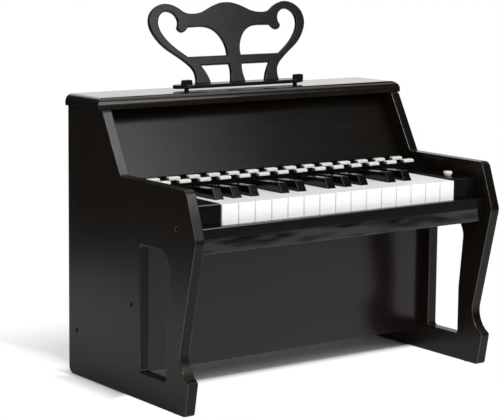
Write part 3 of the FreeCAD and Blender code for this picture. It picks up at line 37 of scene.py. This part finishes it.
class Nodes:
    """A node tree, with short calls for the nodes used here."""

    def __init__(self, tree):
        self.tree = tree

    def add(self, kind, **values):
        node = self.tree.nodes.new(kind)
        for key, value in values.items():
            setattr(node, key, value)
        return node

    def feed(self, socket, item):
        """Give a socket its input: another socket or a constant."""
        if isinstance(item, bpy.types.NodeSocket):
            self.tree.links.new(item, socket)
        else:
            socket.default_value = item

    def math(self, operation, first, second=0.0):
        node = self.add("ShaderNodeMath", operation=operation)
        self.feed(node.inputs[0], first)
        self.feed(node.inputs[1], second)
        return node.outputs["Value"]

    def vector_math(self, operation, first, second=(0.0, 0.0, 0.0)):
        node = self.add("ShaderNodeVectorMath", operation=operation)
        self.feed(node.inputs[0], first)
        self.feed(node.inputs[1], second)
        gives_number = operation in ("DOT_PRODUCT", "DISTANCE", "LENGTH")
        return node.outputs["Value" if gives_number else "Vector"]

    def coordinate(self, vector, axis):
        node = self.add("ShaderNodeSeparateXYZ")
        self.feed(node.inputs["Vector"], vector)
        return node.outputs[axis]

    def spread(self, value, low, high, start=0.3, end=0.7):
        """Value taken from the range start to end into the range low to high."""
        node = self.add("ShaderNodeMapRange")
        self.feed(node.inputs["Value"], value)
        self.feed(node.inputs["From Min"], start)
        self.feed(node.inputs["From Max"], end)
        self.feed(node.inputs["To Min"], low)
        self.feed(node.inputs["To Max"], high)
        return node.outputs["Result"]

    def rays(self):
        """Camera rays, and the rays that surfaces mirror or let through."""
        path = self.add("ShaderNodeLightPath").outputs
        mirrored = self.math("MAXIMUM", path["Is Glossy Ray"], path["Is Transmission Ray"])
        return path["Is Camera Ray"], mirrored


class Shader(Nodes):
    """The node tree of a new material, over a piece's own coordinates in metres."""

    def __init__(self, name):
        self.material = bpy.data.materials.new(name)
        self.material.use_nodes = True
        super().__init__(self.material.node_tree)
        self.surface = self.tree.nodes["Principled BSDF"]
        self.place = self.add("ShaderNodeTexCoord").outputs["Object"]

    def put(self, socket, item):
        """Input of the surface: a socket or a constant."""
        self.feed(self.surface.inputs[socket], item)

    def noise(self, scale, detail=4.0, stretch=(1.0, 1.0, 1.0), roughness=0.55, distortion=0.0):
        mapping = self.add("ShaderNodeMapping")
        self.feed(mapping.inputs["Vector"], self.place)
        self.feed(mapping.inputs["Scale"], stretch)
        texture = self.add("ShaderNodeTexNoise")
        self.feed(texture.inputs["Vector"], mapping.outputs["Vector"])
        self.feed(texture.inputs["Scale"], scale)
        self.feed(texture.inputs["Detail"], detail)
        self.feed(texture.inputs["Roughness"], roughness)
        self.feed(texture.inputs["Distortion"], distortion)
        return texture.outputs["Fac"]

    def mix(self, share, first, second):
        """Colour between two, each a socket or red, green and blue."""
        node = self.add("ShaderNodeMix", data_type="RGBA")
        self.feed(node.inputs["Factor"], share)
        for socket, item in ((node.inputs[6], first), (node.inputs[7], second)):
            self.feed(socket, (*item, 1.0) if isinstance(item, tuple) else item)
        return node.outputs[2]

    def along(self, axis):
        """Place along an axis."""
        return self.coordinate(self.place, axis)

    def lean(self, axis):
        """How far a face looks along an axis, from none to one."""
        normal = self.add("ShaderNodeTexCoord").outputs["Normal"]
        return self.math("ABSOLUTE", self.coordinate(normal, axis))

    def facing(self, axis):
        """One on faces that look along an axis, none on the others."""
        return self.spread(self.lean(axis), 0.0, 1.0, 0.72, 0.9)

    def rounded(self, axis):
        """One on the roundings between faces along an axis and faces across it."""
        lean = self.lean(axis)
        leaves_across = self.spread(lean, 0.0, 1.0, 0.05, 0.2)
        reaches_along = self.spread(lean, 1.0, 0.0, 0.85, 0.97)
        return self.math("MULTIPLY", leaves_across, reaches_along)

    def softened(self, radius, samples):
        """Normal with the edges rounded by a radius."""
        bevel = self.add("ShaderNodeBevel", samples=samples)
        self.feed(bevel.inputs["Radius"], radius)
        return bevel.outputs["Normal"]

    def edges(self, radius):
        """One on the sharp edges of a piece, none on its flat faces."""
        true_normal = self.add("ShaderNodeNewGeometry").outputs["Normal"]
        agreement = self.vector_math("DOT_PRODUCT", self.softened(radius, 4), true_normal)
        return self.spread(agreement, 1.0, 0.0, 0.8, 0.99)

    def bump(self, *layers, soften=0.0):
        """Stacked bumps, each (height, strength, distance), over edges softened by a radius."""
        normal = self.softened(soften, 6) if soften else None
        for height, strength, distance in layers:
            node = self.add("ShaderNodeBump")
            self.feed(node.inputs["Height"], height)
            self.feed(node.inputs["Strength"], strength)
            self.feed(node.inputs["Distance"], distance)
            if normal is not None:
                self.feed(node.inputs["Normal"], normal)
            normal = node.outputs["Normal"]
        self.put("Normal", normal)


# Materials

ARM_HEIGHT = (0.22, 0.27)
SCREW_SPACING = 0.02
SCREW_RIM = (0.0022, 0.0028)
# Painted shade: how far each screw's dark centre is set towards the front
SCREW_PAINTED_SHADE_SHIFT = 0.0007
# Painted shade: heights over which the screw rims darken towards the lid
SCREW_PAINTED_SHADE_HEIGHT = (0.22, 0.3)
BOARD_EDGE = 0.0012
PLASTIC_EDGE = 0.0006
EDGE_ROUGHNESS = 0.15


def painted_board(name, grain_along, dark=(0.0068, 0.0046, 0.0029), light=(0.0098, 0.0066, 0.0042),
                  gloss=0.25, shine=(0.27, 0.27), waves=0.03, wave_stretch=(1.0, 1.0, 1.0),
                  grain_depth=0.015, pebbles=0.14, peel=0.0, front_painted_shade=0.0, front_polish=(0.15, 0.15),
                  coat=0.0):
    """Black paint over board: fine stipple, faint grain, slow waves and rubbed edges.

    The shine is that of flat faces and that of rounded edges. Faces to the front and back may have peel in
    the paint, painted shade that darkens their colour and a share of the edges' shine, the share given below
    the arms and above them.
    """
    shader = Shader(name)
    front = shader.facing("Y")
    grain_stretch = tuple(1.0 if axis == grain_along else 26.0 for axis in "XYZ")
    grain = shader.noise(9.0, 6.0, grain_stretch, 0.62, 0.4)
    stipple_stretch = tuple(1.0 if axis == grain_along else 3.5 for axis in "XYZ")
    stipple = shader.noise(260.0, 3.0, stipple_stretch, 0.7)
    slow_waves = shader.noise(28.0, 2.0, wave_stretch)
    drops = shader.math("MULTIPLY", shader.noise(900.0, 2.0), front)

    tone = shader.mix(shader.spread(grain, 0.0, 1.0), dark, light)
    # Painted shade: faces to the front and back are darkened towards black, below the tone of the other
    # faces.
    tone = shader.mix(shader.math("MULTIPLY", front, front_painted_shade), tone, (0.0, 0.0, 0.0))
    patches = shader.spread(shader.noise(90.0, 5.0), 0.0, 0.5, 0.45, 0.7)
    rubbed = shader.math("MULTIPLY", shader.edges(BOARD_EDGE), patches)
    shader.put("Base Color", shader.mix(rubbed, tone, (0.03, 0.025, 0.021)))

    cloudy = shader.spread(shader.noise(7.0, 3.0), -0.02, 0.02)
    patchy = shader.math("ADD", cloudy, shader.spread(grain, gloss - 0.015, gloss + 0.02))
    wear = shader.math("MULTIPLY", rubbed, EDGE_ROUGHNESS)
    shader.put("Roughness", shader.math("ADD", patchy, wear))

    polish = shader.spread(shader.along("Z"), *front_polish, *ARM_HEIGHT)
    polished = shader.math("MAXIMUM", shader.rounded("X"), shader.math("MULTIPLY", front, polish))
    shader.put("Specular IOR Level", shader.spread(polished, *shine, 0.0, 1.0))
    shader.put("Coat Weight", coat)
    shader.bump(
        (slow_waves, waves, 0.004),
        (grain, grain_depth, 0.0006),
        (stipple, pebbles, 0.0002),
        (drops, peel, 0.0005),
    )
    return shader.material


def moulded_plastic(name, dark, light, gloss, worn, shine=(0.5, 0.5), edge_axis=None, relief=1.0,
                    end_tint=None, soften=0.0):
    """Moulded plastic: slight mottling, fine skin texture and rubbed edges.

    The shine is that of flat faces and that of edges, with the roundings across edge_axis if one is given.
    The X ends may have a tint of their own.
    """
    shader = Shader(name)
    mottle = shader.noise(40.0, 4.0)
    skin = shader.noise(1800.0, 2.0)
    scuffs = shader.noise(55.0, 6.0, (1.0, 7.0, 7.0), 0.7)
    edge = shader.edges(PLASTIC_EDGE)

    tone = shader.mix(shader.spread(mottle, 0.0, 1.0), dark, light)
    if end_tint is not None:
        tone = shader.mix(shader.facing("X"), tone, end_tint)
    patches = shader.spread(shader.noise(160.0, 4.0), 0.0, 0.55, 0.4, 0.7)
    rubbed = shader.math("MULTIPLY", edge, patches)
    shader.put("Base Color", shader.mix(rubbed, tone, worn))

    scuffed = shader.spread(scuffs, gloss - 0.04, gloss + 0.07)
    wear = shader.math("MULTIPLY", rubbed, EDGE_ROUGHNESS)
    shader.put("Roughness", shader.math("ADD", scuffed, wear))

    polished = edge
    if edge_axis is not None:
        polished = shader.math("MAXIMUM", edge, shader.rounded(edge_axis))
    shader.put("Specular IOR Level", shader.spread(polished, *shine, 0.0, 1.0))
    shader.bump((skin, 0.03 * relief, 0.0001), (scuffs, 0.012 * relief, 0.0003), soften=soften)
    return shader.material


def screw_axes(node):
    """Y and Z of the axes of screws along X, from their points, which lie in groups around the axes."""
    groups = []
    for vertex in node.data.vertices:
        point = vertex.co.yz
        group = next((group for group in groups if (group[0] - point).length < SCREW_SPACING), None)
        if group is None:
            groups.append([point])
        else:
            group.append(point)
    axes = []
    for group in groups:
        ys, zs = zip(*group)
        axes.append(((min(ys) + max(ys)) / 2, (min(zs) + max(zs)) / 2))
    return axes


def screw_heads(name, axes):
    """Brown rim, wider at the back, round a dark centre of painted shade; more painted shade near the lid."""
    shader = Shader(name)
    across = shader.vector_math("MULTIPLY", shader.place, (0.0, 1.0, 1.0))
    nearest = 1.0
    # Painted shade: a dark centre for the shade in each recess, set forwards so the rim is wider at the back
    for y, z in axes:
        away = shader.vector_math("DISTANCE", across, (0.0, y - SCREW_PAINTED_SHADE_SHIFT, z))
        nearest = shader.math("MINIMUM", away, nearest)
    rim = shader.spread(nearest, 0.0, 1.0, *SCREW_RIM)
    grime = shader.noise(500.0, 4.0)
    brown = shader.mix(shader.spread(grime, 0.0, 1.0), (0.09, 0.05, 0.022), (0.16, 0.085, 0.036))
    # Painted shade: the brown rim darkens towards the lid
    near_lid = shader.spread(shader.along("Z"), 0.0, 1.0, *SCREW_PAINTED_SHADE_HEIGHT)
    brown = shader.mix(near_lid, brown, (0.02, 0.014, 0.009))
    shader.put("Base Color", shader.mix(rim, (0.002, 0.002, 0.002), brown))
    shader.put("Roughness", shader.spread(grime, 0.7, 0.85))
    shader.put("Specular IOR Level", 0.05)
    shader.bump((rim, 0.6, 0.0006), (grime, 0.1, 0.0001))
    return shader.material


def plain_metal(name, dark, light, gloss):
    """Plain metal with fine brushing and tarnish."""
    shader = Shader(name)
    brushing = shader.noise(300.0, 4.0, (0.08, 1.0, 1.0))
    tarnish = shader.noise(70.0, 5.0)
    shader.put("Base Color", shader.mix(shader.spread(tarnish, 0.0, 1.0), dark, light))
    shader.put("Roughness", shader.spread(brushing, gloss - 0.08, gloss + 0.1))
    shader.put("Metallic", 1.0)
    shader.bump((brushing, 0.06, 0.0002))
    return shader.material


def pressed_felt(name, dark, light):
    shader = Shader(name)
    fibres = shader.noise(900.0, 5.0, (1.0, 2.0, 2.0), 0.7)
    shader.put("Base Color", shader.mix(shader.spread(fibres, 0.0, 1.0), dark, light))
    shader.put("Roughness", shader.spread(fibres, 0.85, 0.98))
    shader.bump((fibres, 0.5, 0.0006))
    return shader.material


def bare_wood(name, dark, light):
    shader = Shader(name)
    grain = shader.noise(12.0, 6.0, (1.0, 22.0, 22.0), 0.6, 0.6)
    pores = shader.noise(700.0, 3.0, (0.2, 1.0, 1.0))
    shader.put("Base Color", shader.mix(shader.spread(grain, 0.0, 1.0, 0.35, 0.65), dark, light))
    shader.put("Roughness", shader.spread(pores, 0.6, 0.8))
    shader.bump((grain, 0.12, 0.0006), (pores, 0.1, 0.0003))
    return shader.material


def dress(material, *names):
    for name in names:
        NODES[name].data.materials.clear()
        NODES[name].data.materials.append(material)


SIDE_DARK, SIDE_LIGHT = (0.0085, 0.0058, 0.0036), (0.0118, 0.008, 0.005)
DEEP_BLACK = (0.003, 0.0029, 0.0028)
BLACK = (0.0042, 0.004, 0.0039)
SOFT_BLACK = (0.009, 0.0086, 0.0085)
WORN_BLACK = (0.045, 0.043, 0.042)
WHITE_KEYS = [name for name in NODES if name.startswith("white_key")]
BLACK_KEYS = [name for name in NODES if name.startswith("black_key")]

# Cabinet
# Both side panels carry painted shade on their front and back faces.
dress(painted_board("left_paint", "Z", SIDE_DARK, SIDE_LIGHT, shine=(0.17, 0.8), peel=0.4, front_painted_shade=0.8,
                    front_polish=(0.08, 0.9)), "side_panel_left")
dress(painted_board("right_paint", "Z", SIDE_DARK, SIDE_LIGHT, shine=(0.17, 0.8), peel=0.12, front_painted_shade=0.8,
                    front_polish=(0.08, 0.08)), "side_panel_right")
dress(painted_board("board_paint", "X", (0.0068, 0.004, 0.0036), (0.0098, 0.0058, 0.0052), 0.19,
                    shine=(0.34, 0.34)), "knee_panel")
dress(painted_board("music_paint", "X", (0.0048, 0.0036, 0.0026), (0.007, 0.0053, 0.0038), 0.2,
                    shine=(0.325, 0.325), pebbles=0.45), "music_panel")
dress(painted_board("lid_gloss", "X", gloss=0.03, shine=(0.27, 0.7), waves=0.0, grain_depth=0.003,
                    pebbles=0.01, peel=0.3, front_polish=(0.2, 0.2), coat=0.25), "top_lid")
dress(painted_board("bed_gloss", "X", DEEP_BLACK, BLACK, 0.05, shine=(0.45, 0.45), waves=0.3,
                    wave_stretch=(0.3, 1.0, 1.0)), "key_bed")
dress(painted_board("back_paint", "Z", (0.012, 0.011, 0.01), (0.022, 0.02, 0.018), 0.55), "back_panel")
dress(bare_wood("batten", (0.36, 0.23, 0.12), (0.55, 0.4, 0.24)), "top_rail", "back_rail")
dress(screw_heads("screw", screw_axes(NODES["side_screws"])), "side_screws")
dress(moulded_plastic("rubber", (0.02, 0.02, 0.02), (0.03, 0.03, 0.03), 0.75, (0.06, 0.06, 0.06),
                      shine=(0.3, 0.3)), "foot_pads", "contact_strip")

# Keyboard
dress(moulded_plastic("trim", DEEP_BLACK, BLACK, 0.14, WORN_BLACK, shine=(0.13, 0.9), edge_axis="Z"),
      "key_slip", "cheek_left", "cheek_right")
dress(moulded_plastic("rail", DEEP_BLACK, BLACK, 0.45, WORN_BLACK, shine=(0.0, 0.3)), "light_rail")
dress(moulded_plastic("white_key", (0.868, 0.868, 0.858), (0.886, 0.886, 0.88), 0.35, (0.84, 0.83, 0.81),
                      shine=(0.15, 0.15), relief=0.3), *WHITE_KEYS)
dress(moulded_plastic("black_key", DEEP_BLACK, BLACK, 0.1, WORN_BLACK, shine=(0.25, 0.9), soften=0.0008),
      *BLACK_KEYS)
dress(moulded_plastic("light_cap", (0.75, 0.76, 0.745), (0.79, 0.8, 0.785), 0.35, (0.73, 0.72, 0.69),
                      end_tint=(0.2, 0.12, 0.055)), "note_lights_front", "note_lights_rear")
dress(moulded_plastic("knob", (0.85, 0.85, 0.845), (0.885, 0.885, 0.88), 0.35, (0.8, 0.79, 0.77)),
      "volume_knob")
dress(plain_metal("steel", (0.14, 0.12, 0.1), (0.3, 0.28, 0.26), 0.4),
      "cover_screw", "pivot_rod", "knob_shaft")
dress(plain_metal("tinned", (0.5, 0.5, 0.5), (0.68, 0.67, 0.66), 0.35), "volume_control")
dress(pressed_felt("felt", (0.16, 0.02, 0.02), (0.28, 0.05, 0.045)), "key_stop_felt", "key_rest_felt")
dress(moulded_plastic("circuit", (0.015, 0.11, 0.04), (0.03, 0.16, 0.06), 0.35, (0.2, 0.24, 0.15)),
      "circuit_board", "light_board")

# Sound, power and music stand
dress(moulded_plastic("speaker", (0.012, 0.012, 0.012), (0.03, 0.03, 0.03), 0.5, (0.1, 0.1, 0.1)), "speaker")
dress(moulded_plastic("battery_plastic", BLACK, SOFT_BLACK, 0.45, WORN_BLACK), "battery_box", "battery_cover")
dress(plain_metal("cells", (0.1, 0.12, 0.15), (0.22, 0.24, 0.28), 0.35), "batteries")
dress(moulded_plastic("stand", (0.006, 0.006, 0.0064), (0.0085, 0.0085, 0.009), 0.22, (0.04, 0.04, 0.041),
                      shine=(0.24, 0.5), soften=0.0016), "stand_lyre", "stand_shelf")


# Studio: pale floor, white backdrop, soft lamps and the photograph's camera

BACKDROP_TOWARDS = (0.342, 0.94, 0.0)
BACKDROP_EDGE = (0.8, 0.87)
ROOM_LIGHT = 0.32
ROOM_MIRRORED = 0.05
FLOOR_LOW = (-0.64, -1.05)
FLOOR_HIGH = (1.8, 0.75)
FLOOR_DARK = (0.955, 0.955, 0.955)
FLOOR_LIGHT = (0.965, 0.965, 0.965)
SHADE_MIDDLE = (-0.0225, 0.2345, 0.0)
SHADE_HALF = (0.2375, 0.2155, 0.0)
SHADE_FADE = 0.0185
SHADE_STRETCH = (0.19, 1.0, 1.0)
BEHIND_FADE = 0.5

# Reaches of the floor's fades, along X from the left panel's outer face
PANEL_LINE = (-0.004, 0.004)
BESIDE_REACH = (-0.025, 0.013)
BEHIND_SIDE_REACH = (0.008, 0.038)
MIRROR_OUTSIDE_REACH = (-0.14, 0.0)
MIRROR_INSIDE_REACH = (0.0, 0.005)

# Reaches of the floor's fades, along Y from the back
CORNER_REACH = (-0.05, 0.0)
BACK_LINE = (-0.01, 0.03)
BEHIND_REACH = (0.12, 0.25)

SENSOR_WIDTH = 36.0
LENS = 130.84
LENS_SHIFT = (0.0446, -0.0682)
CAMERA_PLACE = Vector((-1.31775, -1.7144, 0.54145))
CAMERA_RIGHT = Vector((0.8130, -0.5822, 0.0077))
CAMERA_UP = Vector((0.0746, 0.1173, 0.9903))
CAMERA_BACK = Vector((-0.5775, -0.8045, 0.1387))


def surroundings():
    """White to the camera; glossy and clear pieces see the white backdrop behind the piano and a dim room."""
    world = bpy.data.worlds.new("studio")
    SCENE.world = world
    world.use_nodes = True
    nodes = Nodes(world.node_tree)
    camera, mirrored = nodes.rays()
    direction = nodes.add("ShaderNodeTexCoord").outputs["Generated"]
    towards = nodes.vector_math("DOT_PRODUCT", direction, BACKDROP_TOWARDS)
    backdrop = nodes.spread(towards, 0.0, 1.0, *BACKDROP_EDGE)
    white = nodes.math("MAXIMUM", camera, nodes.math("MULTIPLY", mirrored, backdrop))
    room = nodes.spread(mirrored, ROOM_LIGHT, ROOM_MIRRORED, 0.0, 1.0)
    background = world.node_tree.nodes["Background"]
    nodes.feed(background.inputs["Color"], (1.0, 1.0, 1.0, 1.0))
    nodes.feed(background.inputs["Strength"], nodes.spread(white, room, 1.0, 0.0, 1.0))


def shade_fade(shader):
    """Share of white around the rectangle of floor that keeps the piano's shadow."""
    offset = shader.vector_math("ABSOLUTE", shader.vector_math("SUBTRACT", shader.place, SHADE_MIDDLE))
    outside = shader.vector_math("MAXIMUM", shader.vector_math("SUBTRACT", offset, SHADE_HALF))
    distance = shader.vector_math("LENGTH", shader.vector_math("MULTIPLY", outside, SHADE_STRETCH))
    return shader.spread(distance, 0.0, 1.0, 0.0, SHADE_FADE)


def from_left(shader, first, last, reach):
    """Value that goes from first to last over a reach along X, counted from the left panel's outer face."""
    return shader.spread(shader.along("X"), first, last, CAD_LOW[0] + reach[0], CAD_LOW[0] + reach[1])


def from_back(shader, first, last, reach):
    """Value that goes from first to last over a reach along Y, counted from the back."""
    return shader.spread(shader.along("Y"), first, last, CAD_HIGH[1] + reach[0], CAD_HIGH[1] + reach[1])


def outer_fade(shader):
    """Share of white beside and behind the piano, where its shadow is faint and thins outwards."""
    beside = from_left(shader, 1.0, 0.0, BESIDE_REACH)
    left_of_panel = from_left(shader, 1.0, 0.0, PANEL_LINE)
    near_back = from_back(shader, 0.0, 1.0, CORNER_REACH)
    corner = shader.math("MULTIPLY", left_of_panel, near_back)
    sideways = from_left(shader, 1.0, BEHIND_FADE, BEHIND_SIDE_REACH)
    backwards = from_back(shader, BEHIND_FADE, 1.0, BEHIND_REACH)
    past_back = from_back(shader, 0.0, 1.0, BACK_LINE)
    behind = shader.math("MULTIPLY", past_back, shader.math("MAXIMUM", sideways, backwards))
    return shader.math("MAXIMUM", shader.math("MAXIMUM", beside, corner), behind)


def mirrored_fade(shader):
    """Most white that reflections see: less close to the left panel, so that the panel's foot is dark."""
    outside = from_left(shader, 1.0, 0.0, MIRROR_OUTSIDE_REACH)
    inside = from_left(shader, 0.0, 1.0, MIRROR_INSIDE_REACH)
    return shader.math("MAXIMUM", outside, inside)


def floor_material():
    """White table top that keeps the shadow and fades into the white backdrop away from the piano."""
    shader = Shader("floor")
    cloud = shader.noise(3.0, 2.0)
    shader.put("Base Color", shader.mix(cloud, FLOOR_DARK, FLOOR_LIGHT))
    shader.put("Roughness", 0.9)
    shader.put("Specular IOR Level", 0.1)
    fade = shader.math("MAXIMUM", shade_fade(shader), outer_fade(shader))
    camera, mirrored = shader.rays()
    mirrored = shader.math("MULTIPLY", mirrored, mirrored_fade(shader))
    glow = shader.add("ShaderNodeEmission")
    shader.feed(glow.inputs["Strength"], 1.0)
    blend = shader.add("ShaderNodeMixShader")
    shader.feed(blend.inputs["Fac"], shader.math("MINIMUM", fade, shader.math("MAXIMUM", camera, mirrored)))
    shader.feed(blend.inputs[1], shader.surface.outputs["BSDF"])
    shader.feed(blend.inputs[2], glow.outputs["Emission"])
    output = shader.tree.nodes["Material Output"]
    shader.feed(output.inputs["Surface"], blend.outputs["Shader"])
    return shader.material


def floor():
    (left, front), (right, back) = FLOOR_LOW, FLOOR_HIGH
    corners = [(left, front, 0.0), (right, front, 0.0), (right, back, 0.0), (left, back, 0.0)]
    mesh = bpy.data.meshes.new("floor")
    mesh.from_pydata(corners, [], [(0, 1, 2, 3)])
    mesh.materials.append(floor_material())
    item = bpy.data.objects.new("floor", mesh)
    SCENE.collection.objects.link(item)


def soft_lamp(name, place, target, size, power):
    lamp = bpy.data.lights.new(name, "AREA")
    lamp.shape = "RECTANGLE"
    lamp.size, lamp.size_y = size
    lamp.energy = power
    item = bpy.data.objects.new(name, lamp)
    SCENE.collection.objects.link(item)
    item.location = place
    direction = Vector(target) - Vector(place)
    item.rotation_euler = direction.to_track_quat("-Z", "Y").to_euler()


def photo_camera():
    """Camera fitted to the photograph's outlines, with a shifted picture centre."""
    camera = bpy.data.cameras.new("camera")
    camera.sensor_width = SENSOR_WIDTH
    camera.lens = LENS
    camera.shift_x, camera.shift_y = LENS_SHIFT
    item = bpy.data.objects.new("camera", camera)
    SCENE.collection.objects.link(item)
    turn = Matrix((CAMERA_RIGHT, CAMERA_UP, CAMERA_BACK)).transposed()
    item.matrix_world = Matrix.Translation(CAMERA_PLACE) @ turn.to_4x4()
    SCENE.camera = item


surroundings()
floor()
soft_lamp("key_lamp", place=(0.6, -1.58, 1.52), target=(0.0, 0.0, 0.2), size=(1.3, 1.45), power=23.5)
soft_lamp("left_lamp", place=(-0.87, -1.54, 1.7), target=(0.0, 0.0, 0.25), size=(0.5, 0.5), power=13.0)
soft_lamp("top_lamp", place=(0.8, 0.3, 2.5), target=(0.0, 0.0, 0.2), size=(2.0, 2.0), power=16.0)
soft_lamp("front_fill", place=(0.1, -2.2, 0.6), target=(0.0, 0.0, 0.2), size=(1.8, 0.9), power=7.0)
photo_camera()
SCENE.view_settings.view_transform = "Standard"
